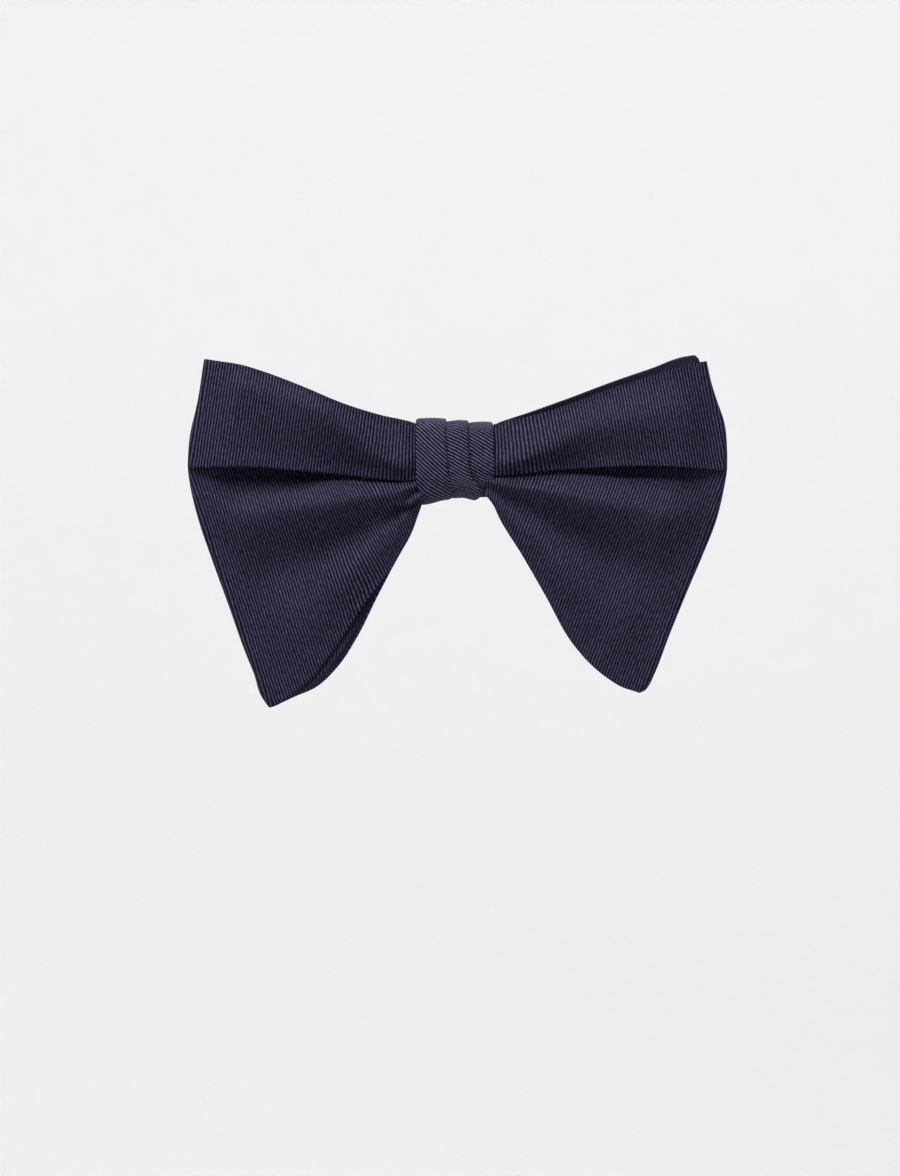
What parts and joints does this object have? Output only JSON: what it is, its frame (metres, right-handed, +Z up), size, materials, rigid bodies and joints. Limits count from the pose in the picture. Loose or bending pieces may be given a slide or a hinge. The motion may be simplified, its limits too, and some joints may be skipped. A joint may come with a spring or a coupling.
{
  "type": "bow tie",
  "caption": "Pre-tied butterfly bow tie with a pleated knot, looped cloth wings and an adjustable neckband with slider, hook and eye.",
  "frame": {"origin": "centre of the neck opening at the neckband's middle height", "axes": "+Z up along the axis of the wearer's neck, +X to the wearer's left (the viewer's right), and the bow faces -Y"},
  "size_m": [0.199, 0.1385, 0.1317],
  "materials": {
    "bow_cloth": "navy ribbed faille, matt with a soft sheen",
    "knot_cloth": "the same navy ribbed faille, ribs on the slant",
    "strap": "navy woven band, matt",
    "lining": "navy plain lining, slight sheen",
    "interlining": "undyed woven interlining",
    "padding": "undyed felt padding",
    "thread": "navy sewing thread",
    "label": "blank off-white woven label",
    "metal": "nickel-plated steel, fine satin"
  },
  "bodies": {
    "knot": {"knot_wrap": "knot_cloth", "knot_padding": "padding", "bow_gather": "bow_cloth", "binding_thread": "thread", "knot_seam_stitches": "thread", "band_front": "strap"},
    "left_wing": {"left_wing_cloth": "bow_cloth", "left_wing_interlining": "interlining", "left_wing_lining": "lining"},
    "right_wing": {"right_wing_cloth": "bow_cloth", "right_wing_interlining": "interlining", "right_wing_lining": "lining"},
    "left_band": {"left_band_side": "strap", "left_return_strap": "strap"},
    "left_end": {"left_band_end": "strap"},
    "right_band": {"right_band_side": "strap", "care_label": "label", "label_stitches": "thread"},
    "right_end": {"right_band_end": "strap", "right_end_stitches": "thread"},
    "slider": {"slider_frame": "metal", "slider_end_loop": "strap", "slider_loop_stitches": "thread"},
    "hook": {"hook": "metal"},
    "eye": {"eye": "metal"}
  },
  "joints": [
    {"name": "left_wing_flex", "type": "hinge", "parent": "knot", "child": "left_wing", "pos_m": [-0.0212, -0.066, 0], "axis": [0, 0, 1], "range_deg": [-6, 25], "stiffness_Nm_per_rad": 0.05},
    {"name": "right_wing_flex", "type": "hinge", "parent": "knot", "child": "right_wing", "pos_m": [0.0212, -0.066, 0], "axis": [0, 0, -1], "range_deg": [-6, 25], "stiffness_Nm_per_rad": 0.05},
    {"name": "left_band_open", "type": "hinge", "parent": "knot", "child": "left_band", "pos_m": [-0.03428, -0.05572, 0], "axis": [0, 0, 1], "range_deg": [0, 20]},
    {"name": "left_band_bend", "type": "hinge", "parent": "left_band", "child": "left_end", "pos_m": [-0.05685, 0.04285, 0], "axis": [0, 0, 1], "range_deg": [0, 50]},
    {"name": "right_band_open", "type": "hinge", "parent": "knot", "child": "right_band", "pos_m": [0.03428, -0.05572, 0], "axis": [0, 0, -1], "range_deg": [0, 20]},
    {"name": "right_band_bend", "type": "hinge", "parent": "right_band", "child": "right_end", "pos_m": [0.05685, 0.04285, 0], "axis": [0, 0, -1], "range_deg": [0, 50]},
    {"name": "slider_travel", "type": "hinge", "parent": "left_band", "child": "slider", "pos_m": [-0.014, 0, 0], "axis": [0, 0, -1], "range_deg": [-20, 20], "deforming": ["left_return_strap"]},
    {"name": "hook_pivot", "type": "hinge", "parent": "left_end", "child": "hook", "pos_m": [-0.01605, 0.0603, 0], "axis": [0, 0, 1], "range_deg": [-80, 80]},
    {"name": "eye_pivot", "type": "hinge", "parent": "right_end", "child": "eye", "pos_m": [0.01605, 0.0603, 0], "axis": [0, 0, -1], "range_deg": [-80, 80]}
  ],
  "couplings": [
    {"joint": "left_band_bend", "follows": "left_band_open", "ratio": 2.5},
    {"joint": "right_band_bend", "follows": "right_band_open", "ratio": 2.5}
  ]
}
